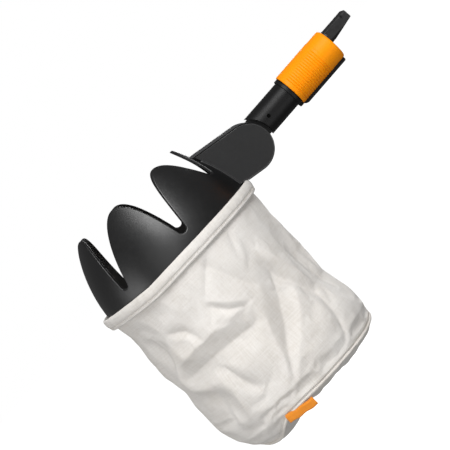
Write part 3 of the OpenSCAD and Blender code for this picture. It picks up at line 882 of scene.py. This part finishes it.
def tube_along(name, pts, radius, sides=10, closed=True, axis=(0, 0, 1), wob=0.0):
    """A round cord of cloth along a closed or open line, in the row frame."""
    n = len(pts)
    verts, uvs, faces = [], [], []
    run = 0.0
    for i, p in enumerate(pts):
        t = (pts[(i + 1) % n] - pts[i - 1]) if closed or 0 < i < n - 1 else (pts[min(i + 1, n - 1)] - pts[max(i - 1, 0)])
        t.normalize()
        zax = (RING.to_3x3() @ Vector(axis)).normalized()
        o = t.cross(zax).normalized()
        w = o.cross(t).normalized()
        rad_ = radius * (1 + wob * noise.noise(p * 140))
        for k in range(sides):
            a = 2 * math.pi * k / sides
            verts.append(p + (o * math.cos(a) + w * math.sin(a)) * rad_ * MM)
            uvs.append((run, k / sides * 2 * math.pi * radius))
        run += (pts[(i + 1) % n] - p).length * 1000
    for i in range(n if closed else n - 1):
        j = (i + 1) % n
        for k in range(sides):
            q = (k + 1) % sides
            faces.append((i * sides + k, j * sides + k, j * sides + q, i * sides + q))
    if not closed:
        faces.append(tuple(range(sides))[::-1])
        faces.append(tuple((n - 1) * sides + k for k in range(sides)))
    ob = make(name, verts, faces, None, True, uvs)
    fix_normals(ob)
    return ob



# rounded rims of the covers, and the fillet between the plates and the ring, both in the lighter black of the painted
# edge highlight
for tag, sgn in (("front", -1), ("rear", 1)):
    line = [RING @ Vector((x, sgn * 15.72, z)) for x, z in cheek_outline(20.25, 14.7, -1.25, low=3.3)]
    rim_ = tube_along("cover_rim_" + tag, line, 0.42, 8, True, axis=(0, 1, 0))
    finish_piece(rim_, M_EDGE_PAINTED_HIGHLIGHT, "head")
    line = [RING @ Vector((math.sqrt((dome_r(z) + 0.2) ** 2 - 15.9 ** 2), sgn * 16.1, z)) for z in np.linspace(2.8, 40.5, 28)]
    fil_ = tube_along("plate_fillet_" + tag, line, 0.95, 10, False, axis=(0, 1, 0))
    finish_piece(fil_, M_EDGE_PAINTED_HIGHLIGHT, "head")



def outward(p):
    q = INV @ p
    v = RING.to_3x3() @ Vector((q.x, q.y, 0))
    return v.normalized()


piping = tube_along("seam_piping", [p + outward(p) * 0.0009 for p in seam_loop], 1.35, 12, True, wob=0.25)
finish_piece(piping, M_TAPE, "head", ["bottom_piping"])


def stitches(name, pts, normals, length, gap, width, body="head", depth=0.35, mat=None, closed=True):
    """Short threads laid along a line: one small rounded bar for each stitch."""
    seg = [(pts[(i + 1) % len(pts)] - pts[i]).length * 1000 for i in range(len(pts) if closed else len(pts) - 1)]
    total = sum(seg)
    count = max(2, int(total / (length + gap)))
    verts, faces = [], []
    for s_i in range(count):
        s0 = s_i * total / count
        acc, i = 0.0, 0
        while i < len(seg) - 1 and acc + seg[i] < s0 + length / 2:
            acc += seg[i]; i += 1
        f = (s0 + length / 2 - acc) / max(seg[i], 1e-6)
        a, b = pts[i], pts[(i + 1) % len(pts)]
        c = a.lerp(b, f); t = (b - a).normalized()
        nn = normals[i].normalized(); w = t.cross(nn).normalized()
        base_i = len(verts)
        prof = [(-0.5, 0.0), (-0.44, 0.55), (-0.2, 0.95), (0.2, 0.95), (0.44, 0.55), (0.5, 0.0)]
        for x, k in prof:
            for q in range(6):
                an = 2 * math.pi * q / 6
                verts.append(c + t * x * length * MM + (w * math.cos(an) * width * 0.5 * max(k, 0.15) + nn * (math.sin(an) * width * 0.5 * max(k, 0.15) + depth * (k - 0.75))) * MM)
        for r in range(len(prof) - 1):
            for q in range(6):
                k2 = (q + 1) % 6
                faces.append((base_i + r * 6 + q, base_i + r * 6 + k2, base_i + (r + 1) * 6 + k2, base_i + (r + 1) * 6 + q))
        faces.append(tuple(base_i + q for q in range(6))[::-1])
        faces.append(tuple(base_i + (len(prof) - 1) * 6 + q for q in range(6)))
    ob = make(name, verts, faces)
    fix_normals(ob)
    finish_piece(ob, mat or M_THREAD, body)
    return ob


# hem: rolled band with a stitched lower fold
HEM_DZ = [(-180, 0.6), (-155, 0.6), (-135, -0.6), (-114, -2.2), (-90, -0.6), (-66, 0.2), (-40, 0.6), (-13, 0.8), (20, 0.6), (60, -0.8), (90, -1.6), (130, -0.4), (160, 0.6), (180, 0.6)]
NH = 720
prof = [(82.2, -9.8), (82.6, 0.2), (83.2, 1.4), (84.2, 1.9), (85.2, 1.6), (85.9, 0.5), (86.15, -1.2), (86.2, -3.2), (86.05, -5.0), (85.55, -6.2),
        (85.0, -6.7), (85.0, -7.3), (85.2, -8.1), (85.05, -9.1), (84.4, -9.9), (83.2, -10.1)]
hverts, huv, hfaces = [], [], []
np_ = len(prof)
acc = [0.0]
for i in range(1, np_):
    acc.append(acc[-1] + math.dist(prof[i - 1], prof[i]))
for i in range(NH):
    a = 2 * math.pi * i / NH - math.pi
    deg = math.degrees(a)
    dz = lerp_tab(deg, HEM_DZ)
    g1 = noise.noise(Vector((math.cos(a) * 9, math.sin(a) * 9, 1.0)))
    g2 = noise.noise(Vector((math.cos(a) * 26, math.sin(a) * 26, 2.0)))
    for j, (r, z) in enumerate(prof):
        outer_k = max(0.0, (r - 83.0) / 3.2)
        low_k = 1.0 if j >= 9 else 0.35
        pk = (0.30 * g2 * low_k + 0.42 * g1) * outer_k
        hverts.append(((r + pk) * math.cos(a), (r + pk) * math.sin(a), z + dz + 0.3 * g1 * outer_k))
        huv.append((math.radians(deg) * 86.0, acc[j] + 40))
for i in range(NH):
    k = (i + 1) % NH
    for j in range(np_):
        q = (j + 1) % np_
        hfaces.append((i * np_ + j, k * np_ + j, k * np_ + q, i * np_ + q))
hem = make("hem_band", hverts, hfaces, RING, True, huv)
for p in hem.data.polygons:
    lay = hem.data.uv_layers["cloth"].data
    us = [lay[i].uv[0] for i in p.loop_indices]
    if max(us) - min(us) > 200:
        for i in p.loop_indices:
            if lay[i].uv[0] < 0:
                lay[i].uv[0] += 2 * math.pi * 86
fix_normals(hem)
m_ = hem.modifiers.new("s", "SUBSURF"); m_.levels = m_.render_levels = 1
apply_all(hem)
finish_piece(hem, M_HEM, "head", ["bag_hem", "hem_elastic"])


def hem_line(r, z, n=720):
    pts, nor = [], []
    for i in range(n):
        a = 2 * math.pi * i / n - math.pi
        dz = lerp_tab(math.degrees(a), HEM_DZ)
        g1 = noise.noise(Vector((math.cos(a) * 9, math.sin(a) * 9, 1.0)))
        g2 = noise.noise(Vector((math.cos(a) * 26, math.sin(a) * 26, 2.0)))
        pk = 0.30 * g2 + 0.42 * g1
        pts.append(RING @ Vector(((r + pk) * math.cos(a), (r + pk) * math.sin(a), z + dz)))
        nor.append(RING.to_3x3() @ Vector((math.cos(a), math.sin(a), 0)))
    return pts, nor


p_, n_ = hem_line(85.2, -6.9)
hem_st = stitches("hem_stitches", p_, n_, 2.5, 0.9, 0.62)

# side seam on the far side: a folded strip with two rows of stitches
def side_surface(phi, b, out=0.0):
    """A point on the cloth after it has settled."""
    fi = (phi + 180) % 360 / 360 * NP
    low = seam_at[int(fi) % NP] * (1 - fi % 1) + seam_at[(int(fi) + 1) % NP] * (fi % 1)
    fj = (min(b, low + 5) - 6.0) / (low - 6.0) * (NB - 1)
    i0, j0 = int(fi) % NP, int(min(max(fj, 0), NB - 1.001))
    i1, j1 = (i0 + 1) % NP, j0 + 1
    x, y = fi - int(fi), fj - j0
    p = (Vector(co[i0 * NB + j0]) * (1 - x) * (1 - y) + Vector(co[i1 * NB + j0]) * x * (1 - y)
         + Vector(co[i0 * NB + j1]) * (1 - x) * y + Vector(co[i1 * NB + j1]) * x * y)
    return p + outward(p) * out * MM


sv, suv, sf = [], [], []
phs = [87.0, 87.2, 88.4, 91.6, 92.8, 93.0]
hts = [0.0, 0.75, 0.9, 0.9, 0.75, 0.0]
rows = [9 + 1.5 * k for k in range(int((SEAM_B - 10) / 1.5))]
for b_ in rows:
    for ph_, ht in zip(phs, hts):
        q = side_surface(ph_, b_, ht + 0.08 * noise.noise(Vector((ph_, b_ * 0.3, 0))))
        sv.append(q); suv.append((math.radians(ph_) * 80, b_))
for r_ in range(len(rows) - 1):
    for c_ in range(len(phs) - 1):
        a_ = r_ * len(phs) + c_
        sf.append((a_, a_ + 1, a_ + 1 + len(phs), a_ + len(phs)))
seam = make("side_seam_fold", sv, sf, None, True, suv)
m_ = seam.modifiers.new("t", "SOLIDIFY"); m_.thickness = 0.5 * MM; m_.offset = -1
apply_all(seam); fix_normals(seam)
finish_piece(seam, M_TAPE, "head", ["side_seam_tape"])
for tag, ph_ in (("a", 88.3), ("b", 91.7)):
    pts = [side_surface(ph_, b_, 0.9) for b_ in rows]
    stitches("side_stitches_" + tag, pts, [outward(p) for p in pts], 2.4, 1.0, 0.5, closed=False)
# stitching above the bottom seam
pts = [side_surface(a, float(np.interp(a, phis, seam_at)) - 3.4, 0.1) for a in np.arange(-180, 180, 1.0)]
seam_st = stitches("seam_stitches", pts, [outward(p) for p in pts], 2.4, 1.0, 0.5)

# label: a folded ribbon caught in the bottom seam, plain
def label_mesh():
    lv, luv, lf = [], [], []
    na, nb = 28, 12
    for layer, off in ((0, 0.0), (1, 1.0)):
        for i in range(na + 1):
            ph_ = -112.0 + 19.4 * i / na
            a = math.radians(ph_)
            b0 = 151.2 + 3.8 * i / na
            root = INV @ side_surface(ph_, min(b0, float(np.interp(ph_, phis, seam_at)) - 0.2))
            r0 = math.hypot(root.x, root.y)
            root.z = -b0
            for j in range(nb + 1):
                t = j / nb
                z = root.z - 0.4 - 7.6 * t + 0.35 * math.sin(i * 0.5)
                lift = 0.9 + 1.6 * min(t / 0.25, 1) ** 0.6 + 0.3 * t + 0.35 * math.sin(i / na * math.pi * 2.0) * t
                edge = min(t, 1 - t, 0.12) / 0.12
                th = 0.5 * edge + 0.12
                r = r0 + lift + (th if layer else -th)
                lv.append((r * math.cos(a), r * math.sin(a), z))
                luv.append((math.radians(ph_) * 80, 8 * t + (30 if layer else 0)))
    W = nb + 1
    base2 = (na + 1) * W
    for i in range(na):
        for j in range(nb):
            a_ = i * W + j
            lf.append((a_, a_ + 1, a_ + 1 + W, a_ + W))
            b_ = base2 + a_
            lf.append((b_, b_ + W, b_ + 1 + W, b_ + 1))
    rim = [i * W for i in range(na + 1)] + [na * W + j for j in range(1, nb + 1)] + [i * W + nb for i in range(na - 1, -1, -1)] + [j for j in range(nb - 1, 0, -1)]
    for k in range(len(rim)):
        a_, b_ = rim[k], rim[(k + 1) % len(rim)]
        lf.append((a_, b_, base2 + b_, base2 + a_))
    ob = make("label_ribbon", lv, lf, RING, True, luv)
    fix_normals(ob)
    return ob


label = label_mesh()
finish_piece(label, M_LABEL, "head", ["label_tab"])


# ------------------------------------------------------------------ camera
def ring_pt(h, y, z):
    return RING @ Vector((h, y, z))


target = ring_pt(45.2, 0, -12.7)
eye = ring_pt(45.2 - 21, -1355, -12.7 + 81)
fwd = (target - eye).normalized()
up = (RING.to_3x3() @ Vector((0.704, 0, 0.710))).normalized()
up = (up - fwd * up.dot(fwd)).normalized()
right = fwd.cross(up)
cam_data = bpy.data.cameras.new("camera")
cam_data.sensor_width = 36.0
cam_data.lens = 128.0
cam_data.clip_start, cam_data.clip_end = 0.05, 50
cam = link(bpy.data.objects.new("camera", cam_data))
cam.matrix_world = Matrix.Translation(eye) @ Matrix((right, up, -fwd)).transposed().to_4x4()
bpy.context.scene.camera = cam

# ------------------------------------------------------------------ stage
world = bpy.data.worlds.new("studio")
bpy.context.scene.world = world
bpy.context.scene.view_settings.view_transform = "Standard"
world.use_nodes = True
wt = world.node_tree
wt.nodes["Background"].inputs[0].default_value = (1, 1, 1, 1)
lp = wt.nodes.new("ShaderNodeLightPath")
wm = wt.nodes.new("ShaderNodeMapRange")
wt.links.new(lp.outputs["Is Camera Ray"], wm.inputs[0])
wm.inputs[3].default_value, wm.inputs[4].default_value = 0.32, 1.0
wg = wt.nodes.new("ShaderNodeMath")
wg.operation = "MULTIPLY_ADD"
wt.links.new(lp.outputs["Is Glossy Ray"], wg.inputs[0])
wg.inputs[1].default_value = -0.17
wt.links.new(wm.outputs[0], wg.inputs[2])
wt.links.new(wg.outputs[0], wt.nodes["Background"].inputs[1])

s = 12.0
floor = make("floor", [(-s, -s, 0), (s, -s, 0), (s, s, 0), (-s, s, 0)], [(0, 1, 2, 3)], smooth=False)
floor.location = (-0.15, 0, cad_box[0][2] - 0.25)
fm = N("floor_pale")
fm.b.inputs["Base Color"].default_value = (0.93, 0.93, 0.925, 1)
fm.b.inputs["Roughness"].default_value = 0.9
fm.b.inputs["Emission Color"].default_value = (1, 1, 1, 1)
fm.b.inputs["Emission Strength"].default_value = 0.80
floor.data.materials.append(fm.mat)
floor.visible_diffuse = floor.visible_glossy = False


def area(name, at, size, power, look=None):
    d = bpy.data.lights.new(name, "AREA")
    d.shape, d.size, d.size_y, d.energy = "RECTANGLE", size[0], size[1], power
    ob = link(bpy.data.objects.new(name, d))
    look = look or ring_pt(20, 0, -30)
    z = (Vector(at) - look).normalized()
    ob.matrix_world = Matrix.Translation(at) @ z.to_track_quat("Z", "Y").to_matrix().to_4x4()
    return ob


# photo-space directions: up and right in the picture, and towards the viewer
near = -fwd
c0 = ring_pt(20, 0, -30)
area("key", c0 + up * 0.80 - right * 0.40 + near * 0.9, (0.7, 0.7), 12.5)
area("front", c0 - up * 0.1 - right * 0.2 + near * 1.3, (0.9, 0.9), 2.2)
area("low", c0 - up * 0.95 - right * 0.95 + near * 0.55, (0.8, 0.8), 5.5)
area("fill", c0 - up * 0.2 + right * 0.8 + near * 0.8, (0.8, 0.8), 3)
area("back", c0 + up * 0.5 + right * 0.3 - near * 1.3, (0.9, 0.9), 10)
